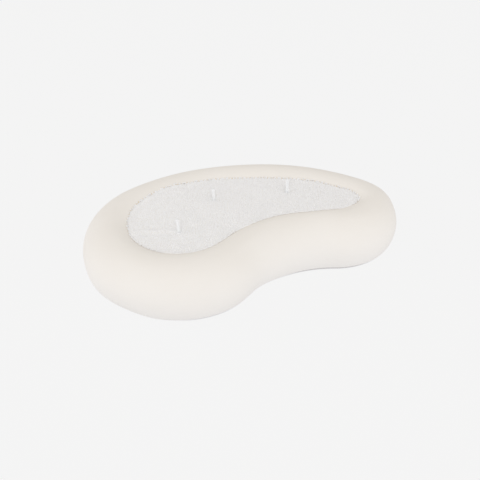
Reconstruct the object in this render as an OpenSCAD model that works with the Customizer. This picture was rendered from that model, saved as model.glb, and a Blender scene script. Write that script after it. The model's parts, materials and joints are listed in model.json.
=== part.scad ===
// Kidney-shaped candle bowl with a fat rolled wall, filled with granulated wax and three loose wicks

/* [Outline] */
// Radius of the rim's crest line round the large end, on the left
left_r = 65; // [60:1:80]
// Radius of the rim's crest line round the small end, on the right
right_r = 32; // [31:1:45]
// Distance between the centres of the two ends
end_spacing = 156; // [140:1:180]
// Radius of the rim's crest line along the back
back_r = 171; // [155:1:220]
// Radius of the rim's crest line in the dent at the front
dent_r = 110; // [90:1:150]

/* [Wall] */
// Height of the rim's crest above the table
rim_h = 52; // [48:1:60]
// Radius from the crest over to the belly outside
crown_r = 28.5; // [24:0.5:32]
// Radius of the side under the belly
side_r = 38; // [32:1:60]
// Radius that rolls the side under to the foot
base_r = 10; // [6:0.5:14]
// Radius from the crest down into the well
lip_r = 20; // [16:0.5:24]

/* [Well and foot] */
// Thickness of the floor
floor_t = 9; // [6:0.5:12]
// Radius between the well's wall and its floor
well_fillet = 8; // [4:0.5:9]
// Height of the foot ring under the floor
foot_h = 3; // [2:0.5:5]
// Width of the foot ring's flat face
foot_w = 18; // [12:1:24]

/* [Wax] */
// Drop from the crest to the level of the wax
wax_drop = 3.5; // [2:0.5:12]
// Room between the wax and the bowl
wax_gap = 0.3; // [0.2:0.1:1]
// Width of the dimple round each wick
dimple_d = 14; // [8:1:20]
// Depth of the dimple round each wick
dimple_depth = 2; // [1:0.5:5]

/* [Wicks] */
// Diameter of a wick
wick_d = 3; // [2:0.1:5]
// Room round a wick in the wax
wick_gap = 0.3; // [0.1:0.1:0.6]
// Room under a wick's foot, over the bowl's floor
wick_seat = 0.3; // [0.2:0.1:1]
// Chamfer at a wick's tip
tip_chamfer = 0.4; // [0.2:0.1:0.8]
// Length of the left wick
left_wick_len = 49.5; // [44:0.5:70]
// Length of the middle wick
middle_wick_len = 47.5; // [44:0.5:70]
// Length of the right wick
right_wick_len = 49; // [44:0.5:70]
// Place of the left wick from the centre of the large end
left_wick_at = [-4.5, -17.5]; // [-30:0.5:30]
// Place of the middle wick from the centre of the large end
middle_wick_at = [37.5, 28.5]; // [20:0.5:40]
// Place of the right wick from the centre of the small end
right_wick_at = [-44, 25]; // [-50:0.5:25]
// Lean of the left wick from upright
left_wick_lean = 4.5; // [0:0.5:8]
// Heading of the left wick's lean, from +X towards +Y
left_wick_heading = 165; // [0:5:355]

/* [Hidden] */
$fn = 48;

bowl_colour = "#ECE8DF";
wax_colour = "#E6E5E2";
wick_colour = "#F0F0F4";

// Steps along the arcs of the crest line, from the large end to the small one, as many in front as behind
front_steps = [20, 14, 12];
back_steps = [10, 26, 10];
// Steps along the arcs of the wall's section
fillet_steps = 4;
lip_steps = 9;
crown_steps = 10;
side_steps = 3;
roll_steps = 5;

// The crest line is four arcs that run into each other without a corner: two ends, the back and the dent
left_c = [-end_spacing / 2, 0];
right_c = [end_spacing / 2, 0];
back_c = arc_centre(back_r - left_r, back_r - right_r);
dent_c = arc_centre(dent_r + left_r, dent_r + right_r);
left_back = heading(back_c, left_c);
left_front = heading(left_c, dent_c) + 360;
right_back = heading(back_c, right_c);
right_front = heading(right_c, dent_c);
dent_left = heading(dent_c, left_c);
dent_right = heading(dent_c, right_c);

// Places on the crest line, each with its outward direction: from the left tip along the front, then back
crest = concat(
    stations(left_c, left_r, 180, left_front, front_steps[0]),
    stations(dent_c, -dent_r, dent_left + 180, dent_right + 180, front_steps[1]),
    stations(right_c, right_r, right_front, 0, front_steps[2]),
    stations(right_c, right_r, 0, right_back, back_steps[2]),
    stations(back_c, back_r, right_back, left_back, back_steps[1]),
    stations(left_c, left_r, left_back, 180, back_steps[0])
);

// Middle of the bowl's outline, which goes to the origin
outline_mid = [(right_r - left_r) / 2, (back_c.y + back_r - left_r) / 2];

// Heights over the table
belly_z = rim_h - crown_r;
lip_z = rim_h - lip_r;
floor_z = foot_h + floor_t;
wax_z = rim_h - wax_drop;

// The wall's section, measured outwards from the crest line and up
side_turn = asin((belly_z - base_r) / (side_r - base_r));
side_x = crown_r - side_r;
roll_x = side_x + (side_r - base_r) * cos(side_turn);
foot_x = roll_x - foot_w;
well_round = min(well_fillet, right_r - lip_r - 1);
well_corner = [-lip_r - well_round, floor_z + well_round];
wall_section = concat(
    arc(well_corner, well_round, -90, 0, fillet_steps),
    arc([0, lip_z], lip_r, 180, 90, lip_steps),
    rest(arc([0, belly_z], crown_r, 90, 0, crown_steps)),
    rest(arc([side_x, belly_z], side_r, 0, -side_turn, side_steps)),
    rest(arc([roll_x, base_r], base_r, -side_turn, -90, roll_steps)),
    [[foot_x, 0], [foot_x - foot_h, foot_h]]
);

// The section of the wax lies along the wall's, from its edge under the lip down to the floor
wax_lip_r = lip_r + wax_gap;
wax_edge = 180 - asin((wax_z - lip_z) / wax_lip_r);
wax_section = concat(
    arc([0, lip_z], wax_lip_r, wax_edge, 180, lip_steps),
    arc(well_corner, well_round - wax_gap, 0, -90, fillet_steps)
);

// Centre of an arc at these distances from the centres of the two ends, on the dent's side of them
function arc_centre(from_left, from_right) =
    let (x = (from_left ^ 2 - from_right ^ 2 + end_spacing ^ 2) / (2 * end_spacing))
    [left_c.x + x, -sqrt(from_left ^ 2 - x ^ 2)];

function heading(from, to) = atan2(to.y - from.y, to.x - from.x);

function polar(r, angle) = r * [cos(angle), sin(angle)];

// Points along an arc, both ends among them
function arc(centre, r, start, end, steps) =
    [for (i = [0:steps]) centre + polar(r, start + (end - start) * i / steps)];

function rest(list) = [for (i = [1:len(list) - 1]) list[i]];

// Places along an arc of the crest line, without its last one; a negative radius curves the other way
function stations(centre, r, start, end, steps) =
    [for (i = [0:steps - 1])
        let (angle = start + (end - start) * i / steps)
        [centre + polar(r, angle), polar(1, angle)]];

// Closed body of one section swept round the crest line, with a flat face inside its first and last rings
module swept(section) {
    count = len(crest);
    half = count / 2;
    rings = len(section);
    points = [for (p = section, s = crest) [each s[0] + s[1] * p.x, p.y]];
    function at(ring, i) = ring * count + i % count;
    sides = [
        for (ring = [0:rings - 2], i = [0:count - 1]) each [
            [at(ring, i), at(ring, i + 1), at(ring + 1, i + 1)],
            [at(ring, i), at(ring + 1, i + 1), at(ring + 1, i)]
        ]
    ];
    rungs = concat(
        [for (i = [0:half - 2]) [i, i + 1, count - 1 - i]],
        [for (i = [1:half - 1]) [i, count - 1 - i, count - i]]
    );
    top = [for (t = rungs) [t[2], t[1], t[0]]];
    bottom = [for (t = rungs) [for (i = t) at(rings - 1, i)]];
    polyhedron(points, concat(sides, top, bottom));
}

module placed() {
    translate([-outline_mid.x, -outline_mid.y, 0]) children();
}

// These stand their children on the level of the wax where a wick comes out
module at_left_wick() {
    translate([left_c.x + left_wick_at.x, left_c.y + left_wick_at.y, wax_z]) children();
}

module at_middle_wick() {
    translate([left_c.x + middle_wick_at.x, left_c.y + middle_wick_at.y, wax_z]) children();
}

module at_right_wick() {
    translate([right_c.x + right_wick_at.x, right_c.y + right_wick_at.y, wax_z]) children();
}

module left_lean() {
    rotate([0, left_wick_lean, left_wick_heading]) children();
}

// A wick whose foot stands over the floor, drawn from the level of the wax
module wick(length) {
    translate([0, 0, floor_z + wick_seat - wax_z]) {
        cylinder(d = wick_d, h = length - tip_chamfer);
        translate([0, 0, length - tip_chamfer])
            cylinder(d1 = wick_d, d2 = wick_d - 2 * tip_chamfer, h = tip_chamfer);
    }
}

// The channel that a wick leaves through the wax
module wick_channel() {
    reach = 1.1 * (wax_z - floor_z);
    translate([0, 0, -reach]) cylinder(d = wick_d + 2 * wick_gap, h = 2 * reach);
}

// The funnel that settles round a wick
module dimple() {
    translate([0, 0, -dimple_depth]) cylinder(d1 = 0, d2 = 2 * dimple_d, h = 2 * dimple_depth);
}

module bowl() {
    color(bowl_colour) placed() swept(wall_section);
}

module wax_bed() {
    color(wax_colour)
        placed()
            difference() {
                swept(wax_section);
                at_left_wick() left_lean() wick_channel();
                at_middle_wick() wick_channel();
                at_right_wick() wick_channel();
                at_left_wick() dimple();
                at_middle_wick() dimple();
                at_right_wick() dimple();
            }
}

module wick_left() {
    color(wick_colour) placed() at_left_wick() left_lean() wick(left_wick_len);
}

module wick_middle() {
    color(wick_colour) placed() at_middle_wick() wick(middle_wick_len);
}

module wick_right() {
    color(wick_colour) placed() at_right_wick() wick(right_wick_len);
}

bowl();
wax_bed();
wick_left();
wick_middle();
wick_right();
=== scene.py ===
import json
import math
import random

import bmesh
import bpy
import numpy as np
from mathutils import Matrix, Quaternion, Vector, noise


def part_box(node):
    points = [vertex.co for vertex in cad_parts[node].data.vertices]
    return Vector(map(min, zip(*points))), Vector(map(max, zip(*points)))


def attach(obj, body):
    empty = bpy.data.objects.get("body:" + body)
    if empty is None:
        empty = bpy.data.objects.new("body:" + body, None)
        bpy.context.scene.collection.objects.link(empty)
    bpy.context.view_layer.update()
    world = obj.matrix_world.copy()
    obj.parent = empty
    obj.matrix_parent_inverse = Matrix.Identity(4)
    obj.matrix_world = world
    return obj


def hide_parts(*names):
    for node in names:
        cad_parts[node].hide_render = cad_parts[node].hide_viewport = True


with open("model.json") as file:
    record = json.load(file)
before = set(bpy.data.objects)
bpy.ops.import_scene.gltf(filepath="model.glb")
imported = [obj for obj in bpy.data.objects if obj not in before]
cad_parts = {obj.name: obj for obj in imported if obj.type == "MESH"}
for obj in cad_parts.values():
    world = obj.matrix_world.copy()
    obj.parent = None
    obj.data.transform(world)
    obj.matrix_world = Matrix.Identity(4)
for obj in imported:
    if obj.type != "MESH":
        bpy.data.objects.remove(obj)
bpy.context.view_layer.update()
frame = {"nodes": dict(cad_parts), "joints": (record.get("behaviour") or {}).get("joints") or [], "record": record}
mm = 0.001
mergeGap = 0.01 * mm
mixA, mixB, mixResult = 6, 7, 2  # a Mix node's colour sockets
bodyOf = {node: body for body, nodes in frame["record"]["behaviour"]["bodies"].items() for node in nodes}
pullOf = {joint["child"]: Vector(joint["axis"]).normalized() for joint in frame["joints"]}
print("stage: frame loaded")


# Tools

def hexColour(text):
    parts = [int(text[i:i + 2], 16) / 255 for i in (1, 3, 5)]
    return [p / 12.92 if p <= 0.04045 else ((p + 0.055) / 1.055) ** 2.4 for p in parts] + [1.0]


def newMaterial(name):
    material = bpy.data.materials.new(name)
    material.use_nodes = True
    return material, material.node_tree.nodes["Principled BSDF"]


# a socket is linked, and any other value is set straight on the input
def feed(owner, node, inputs):
    for name, value in inputs.items():
        if isinstance(value, bpy.types.NodeSocket):
            owner.node_tree.links.new(value, node.inputs[name])
        else:
            node.inputs[name].default_value = value


def addNode(owner, kind, inputs, **settings):
    node = owner.node_tree.nodes.new(kind)
    for name, value in settings.items():
        setattr(node, name, value)
    feed(owner, node, inputs)
    return node


def startPoint(name, place):
    bpy.ops.object.select_all(action="DESELECT")
    bpy.ops.mesh.primitive_plane_add(size=mm, location=place)
    bpy.ops.object.transform_apply(location=True, rotation=True, scale=True)
    piece = bpy.context.object
    piece.name = piece.data.name = name
    bpy.ops.object.mode_set(mode="EDIT")
    bpy.ops.mesh.select_all(action="SELECT")
    bpy.ops.mesh.merge(type="CENTER")
    return piece


# spin turns against the right hand, so the sign is changed here
def turn(centre, axis, degrees, steps):
    bpy.ops.mesh.spin(steps=steps, angle=-math.radians(degrees), center=centre, axis=axis)


def draw(step):
    bpy.ops.mesh.extrude_region_move(TRANSFORM_OT_translate={"value": step})


def selectWhere(piece, test):
    bpy.ops.mesh.select_mode(type="VERT")
    bpy.ops.mesh.select_all(action="DESELECT")
    mesh = bmesh.from_edit_mesh(piece.data)
    for vertex in mesh.verts:
        vertex.select = test(vertex)
    mesh.select_flush(True)
    bmesh.update_edit_mesh(piece.data)


def storeOn(mesh, name, values):
    mesh.attributes.new(name, "FLOAT", "POINT").data.foreach_set("value", values)


def wear(piece, material):
    piece.data.materials.clear()
    piece.data.materials.append(material)


def standFor(piece, node):
    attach(piece, bodyOf[node])
    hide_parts(node)


def smoothStep(share):
    share = min(1.0, max(0.0, share))
    return share * share * (3 - 2 * share)


# rows of round humps, each with its place, radius and height
def humps(rows, x, y):
    return sum(height * math.exp(-((x - midX) ** 2 + (y - midY) ** 2) / radius ** 2)
               for midX, midY, radius, height in rows.values())


# each unevenness reads its own slice of the noise
noiseSlices = {"farSwell": 0.3, "nearSwell": 7.1, "cling": 3.3, "cloud": 5.7}


def uneven(kind, x, y, size):
    return noise.noise(Vector((x, y, noiseSlices[kind])) / size)


# Bowl: a kidney of four tangent arcs, and a rolled wall whose section is tangent arcs too

bowlSize = {
    "leftRadius": 65 * mm, "rightRadius": 32 * mm, "endSpacing": 156 * mm,
    "backRadius": 171 * mm, "dentRadius": 110 * mm,
    "crownRadius": 28.5 * mm, "sideRadius": 38 * mm, "rollRadius": 10 * mm, "lipRadius": 20 * mm,
    "wellRound": 8 * mm, "floorHeight": 12 * mm, "footHeight": 3 * mm, "footWidth": 18 * mm,
    "footEdge": 0.8 * mm, "footCove": 1.5 * mm, "smoothDegrees": 32,
    # steps of the section's arcs, and of the arcs round the outline
    "wellSteps": 6, "lipSteps": 60, "crownSteps": 32, "sideSteps": 12, "rollSteps": 12, "footSteps": 3,
    "leftSteps": 78, "dentSteps": 46, "rightSteps": 66, "backSteps": 88, "closingSteps": 36,
    # the hand-made lip is fuller along the front, and slimmer at the dent and the small end's tip
    "lipRoom": 12 * mm,
    "lipSwells": {
        "leftFront": (-95 * mm, -42 * mm, 40 * mm, 1.6 * mm),
        "front": (-35 * mm, -52 * mm, 45 * mm, 1.3 * mm),
        "dent": (60 * mm, -16 * mm, 24 * mm, -2.5 * mm),
        "smallFront": (101 * mm, -28 * mm, 16 * mm, 2.5 * mm),
        "smallTip": (121 * mm, -14 * mm, 12 * mm, -3.5 * mm),
    },
    # and the outer wall is not quite even either
    "wallRoom": 17 * mm,
    "wallSwells": {
        "dentLeft": (-8 * mm, -71 * mm, 22 * mm, -3.5 * mm),
        "smallFront": (98 * mm, -57 * mm, 26 * mm, -1.9 * mm),
        "back": (13 * mm, 87 * mm, 55 * mm, -2.4 * mm),
        "leftFront": (-120 * mm, -70 * mm, 20 * mm, -1.4 * mm),
        "leftEnd": (-148 * mm, -40 * mm, 17 * mm, 1.0 * mm),
    },
    "shoulderRoom": 16 * mm,
    "shoulderSwells": {"smallEnd": (148 * mm, 2 * mm, 18 * mm, 2 * mm)},
    # the wall is painted tan just under the wax line, as painted shade for the gaps between the grains and the
    # wall
    "gapShadeDepth": 5 * mm, "gapShadeFade": 0.35 * mm, "gapShadeFrom": 2 * mm,
}


# centre of the arc that touches both ends, from its distances to their centres
def arcCentre(size, fromLeft, fromRight, side):
    gap = size["endSpacing"]
    x = (fromLeft ** 2 - fromRight ** 2) / (2 * gap)
    return Vector((x, side * math.sqrt(fromLeft ** 2 - (x + gap / 2) ** 2), 0))


def heading(start, end):
    return math.degrees(math.atan2(end.y - start.y, end.x - start.x))


outline = {
    "left": Vector((-bowlSize["endSpacing"] / 2, 0, 0)),
    "right": Vector((bowlSize["endSpacing"] / 2, 0, 0)),
    "back": arcCentre(bowlSize, bowlSize["backRadius"] - bowlSize["leftRadius"],
                      bowlSize["backRadius"] - bowlSize["rightRadius"], -1),
    "dent": arcCentre(bowlSize, bowlSize["dentRadius"] + bowlSize["leftRadius"],
                      bowlSize["dentRadius"] + bowlSize["rightRadius"], -1),
}
# the drawing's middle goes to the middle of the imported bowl
lowBowl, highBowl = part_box("bowl")
reach = {
    "left": -bowlSize["endSpacing"] / 2 - bowlSize["leftRadius"],
    "right": bowlSize["endSpacing"] / 2 + bowlSize["rightRadius"],
    "back": outline["back"].y + bowlSize["backRadius"],
    "front": -bowlSize["leftRadius"],
}
shift = Vector(((lowBowl.x + highBowl.x - reach["left"] - reach["right"]) / 2,
                (lowBowl.y + highBowl.y - reach["back"] - reach["front"]) / 2, 0))
outline = {name: centre + shift for name, centre in outline.items()}
turns = {
    "leftBack": heading(outline["back"], outline["left"]),
    "leftFront": heading(outline["left"], outline["dent"]) + 360,
    "rightFront": heading(outline["right"], outline["dent"]),
    "rightBack": heading(outline["back"], outline["right"]),
}
lipZ = highBowl.z - bowlSize["lipRadius"]
bellyZ = highBowl.z - bowlSize["crownRadius"]
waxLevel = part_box("wax_bed")[1].z
crestArcs = (
    ("left", bowlSize["leftRadius"], 1, turns["leftBack"], turns["leftFront"]),
    ("dent", bowlSize["dentRadius"], -1, turns["rightFront"] + 180, turns["leftFront"] - 180),
    ("right", bowlSize["rightRadius"], 1, turns["rightFront"], turns["rightBack"]),
    ("back", bowlSize["backRadius"], 1, turns["rightBack"], turns["leftBack"]),
)


# distance outside the crest line, negative inside it, and the way out
def crestOffset(x, y):
    best, out = -1.0, (0.0, 0.0)
    for name, radius, side, low, high in crestArcs:
        dx, dy = x - outline[name].x, y - outline[name].y
        angle = math.degrees(math.atan2(dy, dx))
        away = math.hypot(dx, dy)
        if (angle - low) % 360 <= (high - low) % 360 and side * (away - radius) > best:
            best, out = side * (away - radius), (side * dx / away, side * dy / away)
    return best, out


def lipSwell(x, y):
    return humps(bowlSize["lipSwells"], x, y)


# offset of the well's wall at a height, and its height at an offset, where the lip is even
def wallOffset(z):
    climb = min(1.0, max(0.0, (z - lipZ) / bowlSize["lipRadius"]))
    return -bowlSize["lipRadius"] * math.sqrt(1 - climb ** 2)


def wallHeight(offset):
    return lipZ + math.sqrt(max(0.0, bowlSize["lipRadius"] ** 2 - offset ** 2))


# the wall's section at the large end's tip, from the well's floor over the rim to the recess under the foot
def drawSection(size):
    tip = outline["left"].x - size["leftRadius"]
    crossways = (0, 1, 0)
    wellEdge = -size["lipRadius"] - size["wellRound"]
    sideU = size["crownRadius"] - size["sideRadius"]
    sideSpan = size["sideRadius"] - size["rollRadius"]
    rollZ = size["rollRadius"]
    drop = math.degrees(math.asin((bellyZ - rollZ) / sideSpan))
    rollU = sideU + sideSpan * math.cos(math.radians(drop))
    footIn = rollU - size["footWidth"]
    edge, cove = size["footEdge"], size["footCove"]
    # the foot's inner side slopes at 45 degrees, and each round takes this share of its radius off a line
    slope = math.sqrt(0.5)
    trim = math.tan(math.radians(22.5))
    coveU = footIn - size["footHeight"] - cove * trim
    rise = size["footHeight"] - cove * trim * slope - edge * (1 - slope)

    def spot(u, z):
        return (tip - u, outline["left"].y, z)

    bowl = startPoint("bowlShell", spot(wellEdge, size["floorHeight"]))
    turn(spot(wellEdge, size["floorHeight"] + size["wellRound"]), crossways, 90, size["wellSteps"])
    draw((0, 0, lipZ - size["floorHeight"] - size["wellRound"]))
    turn(spot(0, lipZ), crossways, -90, size["lipSteps"])
    turn(spot(0, bellyZ), crossways, -90, size["crownSteps"])
    turn(spot(sideU, bellyZ), crossways, -drop, size["sideSteps"])
    turn(spot(rollU, rollZ), crossways, drop - 90, size["rollSteps"])
    draw((size["footWidth"] - edge * trim, 0, 0))
    turn(spot(footIn + edge * trim, edge), crossways, -45, size["footSteps"])
    draw((rise, 0, rise))
    turn(spot(coveU, size["footHeight"] - cove), crossways, 45, size["footSteps"])
    return bowl


def sweepSection(bowl, size):
    upright = (0, 0, 1)
    bpy.ops.mesh.select_all(action="SELECT")
    turn(outline["left"], upright, turns["leftFront"] - 180, size["leftSteps"])
    turn(outline["dent"], upright, turns["rightFront"] + 180 - turns["leftFront"] + 180, size["dentSteps"])
    turn(outline["right"], upright, turns["rightBack"] - turns["rightFront"], size["rightSteps"])
    turn(outline["back"], upright, turns["leftBack"] - turns["rightBack"], size["backSteps"])
    turn(outline["left"], upright, 180 - turns["leftBack"], size["closingSteps"])
    bpy.ops.mesh.select_all(action="SELECT")
    bpy.ops.mesh.remove_doubles(threshold=mergeGap)
    # the well's floor and the recess under the foot are still open
    between = (size["floorHeight"] + size["footHeight"]) / 2
    for above in (True, False):
        selectWhere(bowl, lambda v: v.is_boundary and (v.co.z > between) == above)
        bpy.ops.mesh.edge_face_add()
    bpy.ops.mesh.select_all(action="SELECT")
    bpy.ops.mesh.normals_make_consistent(inside=False)
    bpy.ops.object.mode_set(mode="OBJECT")


def swellWall(bowl, size):
    for vertex in bowl.data.vertices:
        x, y, z = vertex.co
        offset, out = crestOffset(x, y)
        move = humps(size["wallSwells"], x, y)
        move += humps(size["shoulderSwells"], x, y) * smoothStep((z - bellyZ) / size["shoulderRoom"])
        move *= smoothStep(offset / size["wallRoom"])
        if z > size["floorHeight"] - mm:  # the underside stays even
            move -= lipSwell(x, y) * smoothStep(0.5 - 0.5 * offset / size["lipRoom"])
        vertex.co.x, vertex.co.y = x + out[0] * move, y + out[1] * move


def makeBowl(size):
    bowl = drawSection(size)
    sweepSection(bowl, size)
    swellWall(bowl, size)
    bpy.ops.object.shade_smooth_by_angle(angle=math.radians(size["smoothDegrees"]))
    return bowl


bowl = makeBowl(bowlSize)
print("stage: bowl", len(bowl.data.polygons), "faces")


# Wax bed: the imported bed, remeshed finely and given the raked, dimpled top that the grains lie on

waxSize = {
    "voxel": 0.95 * mm, "sink": 0.35 * mm, "topBand": 5 * mm, "stretch": 12 * mm, "wallGap": 0.2 * mm,
    "swell": 0.45 * mm, "swellSize": 26 * mm, "nearSize": 9 * mm, "nearShare": 0.45,
    "clingRise": 0.6 * mm, "clingSize": 4 * mm,
    # a ditch runs along the wall, except where the way out points this far to the front
    "ditchFrom": -0.85, "ditchWidth": 1.3 * mm, "ditchDepth": 0.6 * mm, "ditchCover": 0.1 * mm,
    # the wax was poured unevenly, so it lies lower at the left end and higher behind it
    "mounds": {
        "leftEnd": (-114 * mm, -14 * mm, 38 * mm, -2.4 * mm),
        "leftBack": (-66 * mm, 52 * mm, 38 * mm, 1.9 * mm),
        "back": (22 * mm, 58 * mm, 45 * mm, -1.5 * mm),
        "front": (-50 * mm, -62 * mm, 40 * mm, -1.3 * mm),
    },
    # cosine and sine of the turn that creases and rake marks have
    "markTurn": (0.972, 0.234),
    "dimplePower": 1.15,
    "creaseAhead": 3.1 * mm, "creaseWidth": 0.9 * mm, "leftBend": 1.0, "rightBend": 0.7,
    "dimples": {
        "wick_left": {"radius": 6 * mm, "depth": 0.5 * mm, "crease": 0.0,
                      "leftArm": 5 * mm, "rightArm": 5 * mm},
        "wick_middle": {"radius": 8 * mm, "depth": 0.8 * mm, "crease": 1.1 * mm,
                        "leftArm": 9 * mm, "rightArm": 9 * mm},
        "wick_right": {"radius": 9 * mm, "depth": 1.1 * mm, "crease": 0.8 * mm,
                       "leftArm": 10 * mm, "rightArm": 18 * mm},
    },
    "rake": {"start": 2 * mm, "end": 48 * mm, "fadeIn": 8 * mm, "fadeOut": 10 * mm,
             "middle": 3 * mm, "width": 9 * mm, "wave": 1.6 * mm, "depth": 0.8 * mm},
}
wickSize = {
    "radius": 1.5 * mm, "relief": 0.06 * mm, "strands": 8, "pitch": 13 * mm, "sides": 48, "step": 0.25 * mm,
    "capInset": 0.3 * mm, "capRise": 0.12 * mm, "dishInset": 0.5 * mm, "dishDepth": 0.05 * mm,
    "smoothDegrees": 50,
}


def wickLine(node):
    points = np.array([v.co for v in frame["nodes"][node].data.vertices])
    axis = pullOf[bodyOf[node]]
    along = points @ np.array(axis)
    middle = Vector(points.mean(axis=0))
    base = middle + axis * (along.min() - middle.dot(axis))
    return base, axis, float(along.max() - along.min())


wickLines = {node: wickLine(node) for node in ("wick_left", "wick_middle", "wick_right")}
wickSpots = {}
for node, (base, axis, length) in wickLines.items():
    spot = base + axis * ((waxLevel - base.z) / axis.z)
    wickSpots[node] = (spot.x, spot.y)


# how far a place lies to the right of a wick and behind it, in the turn of the marks
def fromWick(node, x, y):
    wickX, wickY = wickSpots[node]
    cosine, sine = waxSize["markTurn"]
    return (x - wickX) * cosine - (y - wickY) * sine, (x - wickX) * sine + (y - wickY) * cosine


# each wick stands in a shallow dimple, and a bent crease runs past its front
def dimpleAt(x, y):
    deepest = 0.0
    for node, (wickX, wickY) in wickSpots.items():
        size = waxSize["dimples"][node]
        slope = max(0.0, 1 - math.hypot(x - wickX, y - wickY) / size["radius"])
        aside, back = fromWick(node, x, y)
        hand = "left" if aside < 0 else "right"
        bend = waxSize[hand + "Bend"]
        fade = max(0.0, 1 - abs(aside) / size[hand + "Arm"])
        miss = (back + waxSize["creaseAhead"] - bend * abs(aside)) / math.hypot(1, bend)
        groove = size["crease"] * fade * math.exp(-(miss / waxSize["creaseWidth"]) ** 2)
        deepest = max(deepest, size["depth"] * slope ** waxSize["dimplePower"] + groove)
    return deepest


# shallow rake marks run from the left wick towards the wall
def rakeAt(x, y):
    size = waxSize["rake"]
    aside, across = fromWick("wick_left", x, y)
    along = -aside
    if not size["start"] < along < size["end"]:
        return 0.0
    fade = min(1.0, (along - size["start"]) / size["fadeIn"], (size["end"] - along) / size["fadeOut"])
    width = math.exp(-((across - size["middle"]) / size["width"]) ** 2)
    return size["depth"] * fade * width * math.sin(across / size["wave"])


def waxTop(x, y):
    far = uneven("farSwell", x, y, waxSize["swellSize"])
    near = uneven("nearSwell", x, y, waxSize["nearSize"])
    swell = waxSize["swell"] * (far + waxSize["nearShare"] * near)
    return waxLevel - dimpleAt(x, y) + humps(waxSize["mounds"], x, y) + swell + rakeAt(x, y)


# where the grains reach on the wall, a little up and down along it
def clingTop(x, y):
    return waxTop(x, y) + waxSize["clingRise"] * uneven("cling", x, y, waxSize["clingSize"])


def remeshBed(size):
    bed = bpy.data.objects.new("waxBed", frame["nodes"]["wax_bed"].data.copy())
    bpy.context.scene.collection.objects.link(bed)
    bpy.ops.object.select_all(action="DESELECT")
    bed.select_set(True)
    bpy.context.view_layer.objects.active = bed
    bpy.ops.object.mode_set(mode="EDIT")
    bpy.ops.mesh.select_all(action="SELECT")
    bpy.ops.mesh.remove_doubles(threshold=mergeGap)
    bpy.ops.mesh.normals_make_consistent(inside=False)
    bpy.ops.object.mode_set(mode="OBJECT")
    remesh = bed.modifiers.new("fine", "REMESH")
    remesh.mode = "VOXEL"
    remesh.voxel_size = size["voxel"]
    bpy.ops.object.modifier_apply(modifier="fine")
    return bed


def makeBed(size):
    bed = remeshBed(size)
    tops = [(v, v.normal.z > 0.5) for v in bed.data.vertices if v.co.z > waxLevel - size["topBand"]]
    level = wallOffset(waxLevel)
    for vertex, upward in tops:
        x, y, z = vertex.co
        offset, out = crestOffset(x, y)
        top, swell = waxTop(x, y), lipSwell(x, y)
        # where the wax lies higher or the lip is slimmer, the wax reaches further out
        reachOut = max(0.0, wallOffset(top) - swell - level)
        reachOut *= max(0.0, 1 + (offset - level) / size["stretch"])
        if not upward:
            reachOut = min(reachOut, max(0.0, wallOffset(z) - swell - offset - size["wallGap"]))
        x, y = x + out[0] * reachOut, y + out[1] * reachOut
        top, offset = waxTop(x, y), offset + reachOut + swell
        if out[1] > size["ditchFrom"] and offset > wallOffset(top) - size["ditchWidth"]:
            lowest = wallHeight(offset) + size["sink"] - size["ditchCover"]
            top = min(top, max(top - size["ditchDepth"], lowest))
        vertex.co = x, y, top - size["sink"] if upward else min(z, top - size["sink"])
    bpy.ops.object.shade_smooth()
    return bed


# a band just under the wax line, inside the crest, is marked for painted shade in the gaps between grains and wall
def paintGapShade(piece, size):
    gapShades = []
    for vertex in piece.data.vertices:
        x, y, z = vertex.co
        depth = clingTop(x, y) - z
        inside = depth < size["gapShadeDepth"] and crestOffset(x, y)[0] < -size["gapShadeFrom"]
        gapShades.append(inside * min(1.0, max(0.0, depth / size["gapShadeFade"])))
    storeOn(piece.data, "gapShade", gapShades)


bed = makeBed(waxSize)
paintGapShade(bowl, bowlSize)
print("stage: wax bed", len(bed.data.polygons), "faces")


# Grains: a few lumpy beads, each repeated some thousand times over the bed

grainSize = {
    "radius": 0.66 * mm, "spread": 0.2, "spacing": 1.18 * mm, "jitter": 0.3 * mm, "margin": 4 * mm,
    "sinkShare": 0.5, "leastRise": -0.08 * mm, "mostRise": 0.12 * mm,
    "wallShare": 0.1, "wickClear": 1.55 * mm,
    "shapes": 5, "lump": 0.22, "lumpSeed": 3, "pieces": 2, "seed": 41,
    # how pale a grain is, in clouds, and with painted shade that darkens the grains towards the small end
    "tone": 0.28, "toneSpread": 0.24, "cloud": 0.15, "cloudSize": 6 * mm,
    "paintedFalloff": -0.2, "paintedFalloffLength": 240 * mm,
    # the grains at the wall
    "edgeRadius": 0.8 * mm, "edgeSpread": 0.15, "edgeRoom": 0.95 * mm, "edgeRun": 3, "edgeStep": 1.5,
    "edgeGap": 1 * mm, "gapSpread": 0.3, "edgeTouch": 0.8, "closedDrop": 0.7 * mm,
    "leastDrop": 0.1 * mm, "mostDrop": 0.4 * mm,
    # the rings round each wick, with their grains painted paler as painted light where the wick shades them
    "rings": 3, "ringCount": 14, "ringRadius": 0.62 * mm, "ringSpread": 0.06, "ringShift": 0.1,
    "ringTouch": 0.86, "ringRise": 0.45, "ringDrop": 0.9, "ringPaintedLight": 0.5,
}


def grainShapes(size):
    shapes = []
    for index in range(size["shapes"]):
        bpy.ops.object.select_all(action="DESELECT")
        bpy.ops.mesh.primitive_ico_sphere_add(subdivisions=1, radius=1)
        bpy.ops.object.mode_set(mode="EDIT")
        bpy.ops.mesh.select_all(action="SELECT")
        bpy.ops.transform.vertex_random(offset=size["lump"], uniform=0.0, normal=0.0,
                                        seed=index + size["lumpSeed"])
        bpy.ops.object.mode_set(mode="OBJECT")
        model = bpy.context.object
        points = np.array([v.co for v in model.data.vertices])
        faces = np.array([list(p.vertices) for p in model.data.polygons])
        shapes.append((points, faces))
        bpy.data.objects.remove(model)
    return shapes


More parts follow.
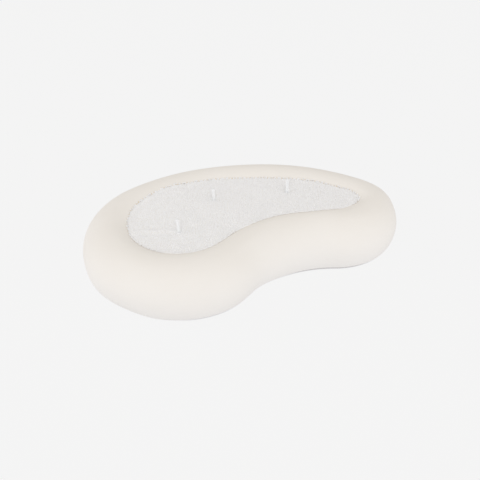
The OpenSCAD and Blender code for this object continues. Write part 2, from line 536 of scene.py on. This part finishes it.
def grainAt(size, chance, x, y, z, radius, paintedLight=0.0):
    cloud = size["cloud"] * uneven("cloud", x, y, size["cloudSize"])
    # painted shade: the grains are made darker towards the small end
    paintedFalloff = size["paintedFalloff"] * x / size["paintedFalloffLength"]
    # painted light: grains of the rings round the wicks are made paler
    tone = min(1.0, size["tone"] + size["toneSpread"] * chance.random() + cloud + paintedFalloff + paintedLight)
    spin = chance.random() * math.tau
    lean = chance.uniform(-1, 1)
    twist = chance.random() * math.tau
    return x, y, z, radius, tone, spin, lean, twist


def bedGrains(size, chance):
    spots = []
    margin = Vector((size["margin"], size["margin"], 0))
    low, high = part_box("wax_bed")
    low, high = low - margin, high + margin
    rowStep = size["spacing"] * math.sqrt(0.75)
    for row in range(int((high.y - low.y) / rowStep) + 1):
        for column in range(int((high.x - low.x) / size["spacing"]) + 1):
            x = low.x + (column + 0.5 * (row % 2)) * size["spacing"] + chance.gauss(0, size["jitter"])
            y = low.y + row * rowStep + chance.gauss(0, size["jitter"])
            radius = size["radius"] * (1 + chance.uniform(-size["spread"], size["spread"]))
            top = waxTop(x, y)
            z = top - size["sinkShare"] * radius + chance.uniform(size["leastRise"], size["mostRise"])
            offset, out = crestOffset(x, y)
            edge = wallOffset(z) - size["wallShare"] * radius
            if out[1] > waxSize["ditchFrom"]:
                edge = wallOffset(top) - size["edgeRoom"]
            edge -= lipSwell(x, y)
            nearest = min(math.hypot(x - wickX, y - wickY) for wickX, wickY in wickSpots.values())
            if offset < edge and nearest > size["wickClear"] + radius:
                spots.append(grainAt(size, chance, x, y, z, radius))
    return spots


# short runs of grains cling to the wall where it faces the front, and elsewhere the row is closed
def edgeGrains(size, chance):
    spots = []
    lipRadius = bowlSize["lipRadius"]
    for name, crestRadius, side, start, end in crestArcs:
        centre = outline[name]
        across = crestRadius + side * wallOffset(waxLevel)
        angle = math.radians(min(start, end))
        stop, run = angle + math.radians(abs(end - start)), 0
        while angle < stop:
            gapped = side * math.sin(angle) > waxSize["ditchFrom"]
            radius = size["edgeRadius"] if gapped else size["radius"]
            radius *= chance.uniform(1 - size["edgeSpread"], 1 + size["edgeSpread"])
            if gapped and run == 0:
                run = chance.randint(1, size["edgeRun"])
                gap = size["edgeGap"] * chance.uniform(1 - size["gapSpread"], 1 + size["gapSpread"])
                angle += (radius + gap) / across
            x, y = centre.x + across * math.cos(angle), centre.y + across * math.sin(angle)
            drop = chance.uniform(size["leastDrop"], size["mostDrop"]) if gapped else size["closedDrop"]
            foot = clingTop(x, y) - drop
            touch = size["edgeTouch"] * radius
            away = crestRadius + side * (wallOffset(foot) * (1 + touch / lipRadius) - lipSwell(x, y))
            x, y = centre.x + away * math.cos(angle), centre.y + away * math.sin(angle)
            z = foot + touch * (foot - lipZ) / lipRadius
            spots.append(grainAt(size, chance, x, y, z, radius))
            angle += size["edgeStep"] * radius / across
            run = max(0, run - 1)
    return spots


# close rings round each wick shut its channel from view
def ringGrains(size, chance):
    spots = []
    for node, (base, axis, length) in wickLines.items():
        for ring in range(size["rings"]):
            for index in range(size["ringCount"]):
                share = index + 0.5 * (ring % 2) + chance.uniform(-size["ringShift"], size["ringShift"])
                angle = math.tau * share / size["ringCount"]
                radius = size["ringRadius"] * chance.uniform(1 - size["ringSpread"], 1 + size["ringSpread"])
                away = wickSize["radius"] + size["ringTouch"] * radius
                across = Vector((math.cos(angle), math.sin(angle), 0)) * away
                foot = Vector((*wickSpots[node], 0)) + across
                z = waxTop(foot.x, foot.y) + (size["ringRise"] - size["ringDrop"] * ring) * radius
                place = base + axis * ((z - base.z) / axis.z) + across
                # these grains are painted paler: painted light where the wick shades them
                spots.append(grainAt(size, chance, place.x, place.y, z, radius, size["ringPaintedLight"]))
    return spots


def flatTurn(angle):
    cosine, sine = math.cos(angle), math.sin(angle)
    return np.array([[cosine, -sine, 0], [sine, cosine, 0], [0, 0, 1]])


def turnMatrix(spin, lean, twist):
    level = math.sqrt(1 - lean ** 2)
    tip = np.array([[1, 0, 0], [0, lean, -level], [0, level, lean]])
    return flatTurn(spin) @ tip @ flatTurn(twist)


def makeGrains(size):
    shapes = grainShapes(size)
    chance = random.Random(size["seed"])
    spots = sorted(bedGrains(size, chance) + edgeGrains(size, chance) + ringGrains(size, chance))
    share = math.ceil(len(spots) / size["pieces"])
    pieces = []
    for part in range(size["pieces"]):
        points, faces, tones = [], [], []
        count = 0
        for index, grain in enumerate(spots[part * share:(part + 1) * share]):
            x, y, z, radius, tone, spin, lean, twist = grain
            shape, sides = shapes[index % len(shapes)]
            points.append(shape @ turnMatrix(spin, lean, twist).T * radius + (x, y, z))
            faces.append(sides + count)
            tones.extend([tone] * len(shape))
            count += len(shape)
        mesh = bpy.data.meshes.new(f"waxGrains{part + 1}")
        mesh.from_pydata(np.concatenate(points).tolist(), [], np.concatenate(faces).tolist())
        storeOn(mesh, "tone", tones)
        mesh.shade_smooth()
        piece = bpy.data.objects.new(mesh.name, mesh)
        bpy.context.scene.collection.objects.link(piece)
        pieces.append(piece)
    return pieces


grains = makeGrains(grainSize)
print("stage: grains", sum(len(g.data.polygons) for g in grains), "faces")


# Wicks: waxed round plaits, each on its own pull line from the frame

# a finely cut cylinder with a rounded, slightly dished tip
def cutWick(name, length, size):
    bpy.ops.object.select_all(action="DESELECT")
    bpy.ops.mesh.primitive_cylinder_add(vertices=size["sides"], radius=size["radius"], depth=length,
                                        location=(0, 0, length / 2))
    bpy.ops.object.transform_apply(location=True, rotation=True, scale=True)
    wick = bpy.context.object
    wick.name = wick.data.name = name
    bpy.ops.object.mode_set(mode="EDIT")
    selectWhere(wick, lambda v: v.co.z > length / 2)
    bpy.ops.mesh.inset(thickness=size["capInset"])
    bpy.ops.transform.translate(value=(0, 0, size["capRise"]))
    bpy.ops.mesh.inset(thickness=size["dishInset"])
    bpy.ops.transform.translate(value=(0, 0, -size["dishDepth"]))
    bpy.ops.mesh.select_all(action="DESELECT")
    bpy.ops.mesh.select_mode(type="EDGE")
    mesh = bmesh.from_edit_mesh(wick.data)
    for edge in mesh.edges:
        edge.select = abs(edge.verts[0].co.z - edge.verts[1].co.z) > length / 2
    bmesh.update_edit_mesh(wick.data)
    bpy.ops.mesh.subdivide(number_cuts=int(length / size["step"]))
    bpy.ops.object.mode_set(mode="OBJECT")
    return wick


def makeWick(node, size):
    base, axis, length = wickLines[node]
    wick = cutWick(node.split("_")[1] + "WaxedWick", length - size["capRise"], size)
    lean = Vector((0, 0, 1)).rotation_difference(axis)
    risesAndValleyShades = []
    for vertex in wick.data.vertices:
        x, y, z = vertex.co
        radius, wave = math.hypot(x, y), size["strands"] * math.atan2(y, x)
        roll = math.tau * z / size["pitch"] * size["strands"]
        # strands wind both ways, and the one on top shows
        riseAndValleyShade = 0.5 + 0.5 * max(math.cos(wave + roll), math.cos(wave - roll))
        risesAndValleyShades.append(riseAndValleyShade)
        if radius > size["radius"] - size["capInset"]:
            shrink = 1 - size["relief"] * (1 - riseAndValleyShade) / size["radius"]
            vertex.co.x, vertex.co.y = x * shrink, y * shrink
        vertex.co = base + lean @ vertex.co
    # the same rise also paints the valleys darker in the cotton's colour: painted shade
    storeOn(wick.data, "riseAndValleyShade", risesAndValleyShades)
    bpy.ops.object.shade_smooth_by_angle(angle=math.radians(size["smoothDegrees"]))
    return wick


wicks = {node: makeWick(node, wickSize) for node in wickLines}
print("stage: wicks", [len(w.data.polygons) for w in wicks.values()], "faces")


# Materials

# Matte cast ceramic: an even chalky cream with no gleam, faint cloudiness and a fine dry tooth
def matteCeramic():
    material, shader = newMaterial("matteCreamCeramic")
    place = addNode(material, "ShaderNodeTexCoord", {}).outputs["Object"]
    cloud = addNode(material, "ShaderNodeTexNoise", {"Vector": place, "Scale": 1 / (38 * mm), "Detail": 4.0})
    tint = addNode(material, "ShaderNodeMix", {
        "Factor": cloud.outputs["Fac"], mixA: hexColour("#F0EBE4"), mixB: hexColour("#F3EFE9"),
    }, data_type="RGBA")
    # the foot's edge is bare clay
    height = addNode(material, "ShaderNodeSeparateXYZ", {"Vector": place}).outputs["Z"]
    bare = addNode(material, "ShaderNodeMapRange", {
        "Value": height, "From Min": 0.35 * mm, "From Max": 0.9 * mm, "To Min": 1.0, "To Max": 0.0,
    })
    clay = addNode(material, "ShaderNodeMix", {
        "Factor": bare.outputs["Result"], mixA: tint.outputs[mixResult], mixB: hexColour("#DDD3C2"),
    }, data_type="RGBA")
    # and a tan band just under the wax line is painted shade for the gaps between the grains and the wall
    gapShade = addNode(material, "ShaderNodeAttribute", {}, attribute_name="gapShade")
    gapShaded = addNode(material, "ShaderNodeMix", {
        "Factor": gapShade.outputs["Fac"], mixA: clay.outputs[mixResult], mixB: hexColour("#ECDFC9"),
    }, data_type="RGBA")
    # the tooth is drawn coarser than the real one, so that it shows
    tooth = addNode(material, "ShaderNodeTexNoise", {"Vector": place, "Scale": 1 / (0.7 * mm), "Detail": 3.0})
    bump = addNode(material, "ShaderNodeBump", {
        "Height": tooth.outputs["Fac"], "Strength": 0.12, "Distance": 0.1 * mm,
    })
    feed(material, shader, {
        "Base Color": gapShaded.outputs[mixResult], "Normal": bump.outputs["Normal"],
        "Roughness": 0.82, "Specular IOR Level": 0.25,
    })
    return material


# Granulated wax: milky off-white beads, each a shade apart, with painted shade towards the small end and painted
# light on the rings round the wicks
def granulatedWax():
    material, shader = newMaterial("granulatedWax")
    tone = addNode(material, "ShaderNodeAttribute", {}, attribute_name="tone")
    tint = addNode(material, "ShaderNodeMix", {
        "Factor": tone.outputs["Fac"], mixA: hexColour("#F5F4F4"), mixB: hexColour("#FEFEFE"),
    }, data_type="RGBA")
    feed(material, shader, {
        "Base Color": tint.outputs[mixResult], "Roughness": 0.6, "Specular IOR Level": 0.3,
    })
    return material


# Packed wax under the grains: the same wax seen in the gaps, painted slightly darker and warmer as shade between
# the grains
def packedWaxGapShade():
    material, shader = newMaterial("packedWaxGapShade")
    place = addNode(material, "ShaderNodeTexCoord", {}).outputs["Object"]
    beads = addNode(material, "ShaderNodeTexVoronoi", {"Vector": place, "Scale": 1 / (1.5 * mm)})
    bump = addNode(material, "ShaderNodeBump", {
        "Height": beads.outputs["Distance"], "Strength": 0.6, "Distance": 0.5 * mm,
    }, invert=True)
    feed(material, shader, {
        "Base Color": hexColour("#F4F2EE"), "Normal": bump.outputs["Normal"],
        "Roughness": 0.6, "Specular IOR Level": 0.3,
    })
    return material


# Waxed cotton: cool white plait that light passes into, with painted shade darkening the valleys between the
# strands
def waxedCotton():
    material, shader = newMaterial("waxedCotton")
    riseAndValleyShade = addNode(material, "ShaderNodeAttribute", {}, attribute_name="riseAndValleyShade")
    # painted shade: the valleys between the strands are mixed a little darker
    tint = addNode(material, "ShaderNodeMix", {
        "Factor": riseAndValleyShade.outputs["Fac"], mixA: hexColour("#E9EBEC"), mixB: hexColour("#EDEFF0"),
    }, data_type="RGBA")
    place = addNode(material, "ShaderNodeTexCoord", {}).outputs["Object"]
    fibre = addNode(material, "ShaderNodeTexNoise", {
        "Vector": place, "Scale": 1 / (0.22 * mm), "Detail": 2.0,
    })
    bump = addNode(material, "ShaderNodeBump", {
        "Height": fibre.outputs["Fac"], "Strength": 0.2, "Distance": 0.08 * mm,
    })
    feed(material, shader, {
        "Base Color": tint.outputs[mixResult], "Normal": bump.outputs["Normal"],
        "Roughness": 0.7, "Specular IOR Level": 0.2, "Sheen Weight": 0.35, "Sheen Roughness": 0.5,
        "Subsurface Weight": 1.0, "Subsurface Radius": (1, 1, 1), "Subsurface Scale": 3 * mm,
    })
    return material


wear(bowl, matteCeramic())
wear(bed, packedWaxGapShade())
grainMaterial = granulatedWax()
for piece in grains:
    wear(piece, grainMaterial)
cotton = waxedCotton()
for wick in wicks.values():
    wear(wick, cotton)

standFor(bowl, "bowl")
standFor(bed, "wax_bed")
for piece in grains:
    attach(piece, bodyOf["wax_bed"])
for node, wick in wicks.items():
    standFor(wick, node)
print("stage: materials and bodies")


# Floor

paperSize = {
    "side": 12, "colour": "#F4F4F4", "shadeColour": "#8C8486", "brightness": 1.012, "evenShare": 0.92,
    "bounceColour": (0.98, 1, 1.05, 1), "bounce": 0.84, "shadeReach": 1.5 * mm, "leastShade": 0.04,
    "leftShade": {"place": (-50 * mm, -90 * mm, 0), "near": 8 * mm, "far": 38 * mm, "depth": 0.65},
    "rightShade": {"place": (74 * mm, -54 * mm, 0), "near": 20 * mm, "far": 65 * mm, "depth": 1.0},
}


# Seamless paper: an even, brightly lit ground, with a thin shade under the foot, deepest at two places
def seamlessPaper(size):
    material, shader = newMaterial("seamlessPaper")
    pale = hexColour(size["colour"])
    feed(material, shader, {"Base Color": pale, "Roughness": 1.0, "Specular IOR Level": 0.0})
    place = addNode(material, "ShaderNodeTexCoord", {}).outputs["Object"]
    depth = size["leastShade"]
    for shade in (size["leftShade"], size["rightShade"]):
        away = addNode(material, "ShaderNodeVectorMath", {0: place, 1: shade["place"]}, operation="DISTANCE")
        fade = addNode(material, "ShaderNodeMapRange", {
            "Value": away.outputs["Value"], "From Min": shade["near"], "From Max": shade["far"],
            "To Min": shade["depth"], "To Max": 0.0,
        }, interpolation_type="SMOOTHSTEP")
        deeper = addNode(material, "ShaderNodeMath", {
            0: depth, 1: fade.outputs["Result"],
        }, operation="MAXIMUM")
        depth = deeper.outputs["Value"]
    dark = addNode(material, "ShaderNodeMix", {
        "Factor": depth, mixA: pale, mixB: hexColour(size["shadeColour"]),
    }, data_type="RGBA")
    contact = addNode(material, "ShaderNodeAmbientOcclusion", {"Distance": size["shadeReach"]})
    ground = addNode(material, "ShaderNodeMix", {
        "Factor": contact.outputs["AO"], mixA: dark.outputs[mixResult], mixB: pale,
    }, data_type="RGBA")
    plain = addNode(material, "ShaderNodeEmission", {
        "Color": ground.outputs[mixResult], "Strength": size["brightness"],
    })
    shown = addNode(material, "ShaderNodeMixShader", {
        0: size["evenShare"], 1: shader.outputs[0], 2: plain.outputs[0],
    })
    # the camera sees the even ground, and the bowl gets a plain bounce from it
    bounce = addNode(material, "ShaderNodeEmission", {
        "Color": size["bounceColour"], "Strength": size["bounce"],
    })
    path = addNode(material, "ShaderNodeLightPath", {})
    mix = addNode(material, "ShaderNodeMixShader", {
        0: path.outputs["Is Camera Ray"], 1: bounce.outputs[0], 2: shown.outputs[0],
    })
    feed(material, material.node_tree.nodes["Material Output"], {"Surface": mix.outputs[0]})
    return material


bpy.ops.object.select_all(action="DESELECT")
bpy.ops.mesh.primitive_plane_add(size=paperSize["side"])
floor = bpy.context.object
floor.name = "paperFloor"
wear(floor, seamlessPaper(paperSize))


# Light and camera

roomSize = {"colour": (1, 0.98, 0.953, 1), "strength": 0.72, "backdrop": "#F4F4F4"}
# each lamp's share is the light that it gives a face turned to it, beside the room's
lampSize = {
    "frontKey": {"azimuth": -13, "elevation": 38, "share": 0.208},
    "leftFill": {"azimuth": -100, "elevation": 12, "share": 0.2},
    "rightFill": {"azimuth": 45, "elevation": 15, "share": 0.112},
}
lampDistance, lampSide = 2.2, 1.6
lampColour, lampTarget = (0.98, 1, 1.05), Vector((0, 0, 20 * mm))
viewSize = {
    "azimuth": -13.55, "elevation": 36.26, "roll": -0.5, "distance": 0.606, "lens": 45, "sensor": 36,
    "clipStart": 10 * mm, "target": Vector((-2.2, 2.9, 7.6)) * mm,
}

scene = bpy.context.scene
world = bpy.data.worlds.new("softRoom")
world.use_nodes = True
scene.world = world
background = world.node_tree.nodes["Background"]
feed(world, background, {"Color": roomSize["colour"], "Strength": roomSize["strength"]})
seen = addNode(world, "ShaderNodeBackground", {"Color": hexColour(roomSize["backdrop"]), "Strength": 1.0})
path = addNode(world, "ShaderNodeLightPath", {})
mixed = addNode(world, "ShaderNodeMixShader", {
    0: path.outputs["Is Camera Ray"], 1: background.outputs[0], 2: seen.outputs[0],
})
feed(world, world.node_tree.nodes["World Output"], {"Surface": mixed.outputs[0]})


def lookAt(thing, target, azimuth, elevation, distance, roll=0):
    a, e = math.radians(azimuth), math.radians(elevation)
    back = Vector((math.sin(a) * math.cos(e), -math.cos(a) * math.cos(e), math.sin(e)))
    thing.location = target + back * distance
    upright = back.to_track_quat("Z", "Y") @ Quaternion((0, 0, 1), math.radians(roll))
    thing.rotation_euler = upright.to_euler()


for name, row in lampSize.items():
    light = bpy.data.lights.new(name, "AREA")
    light.shape = "SQUARE"
    light.size = lampSide
    light.color = lampColour
    light.energy = row["share"] * (math.pi * lampDistance) ** 2
    lamp = bpy.data.objects.new(name, light)
    scene.collection.objects.link(lamp)
    lamp.visible_camera = False
    lookAt(lamp, lampTarget, row["azimuth"], row["elevation"], lampDistance)

camera = bpy.data.objects.new("photoCamera", bpy.data.cameras.new("photoCamera"))
scene.collection.objects.link(camera)
camera.data.lens = viewSize["lens"]
camera.data.sensor_width = viewSize["sensor"]
camera.data.clip_start = viewSize["clipStart"]
lookAt(camera, viewSize["target"], viewSize["azimuth"], viewSize["elevation"],
       viewSize["distance"], viewSize["roll"])
scene.camera = camera
scene.view_settings.view_transform = "Standard"
print("stage: light and camera")
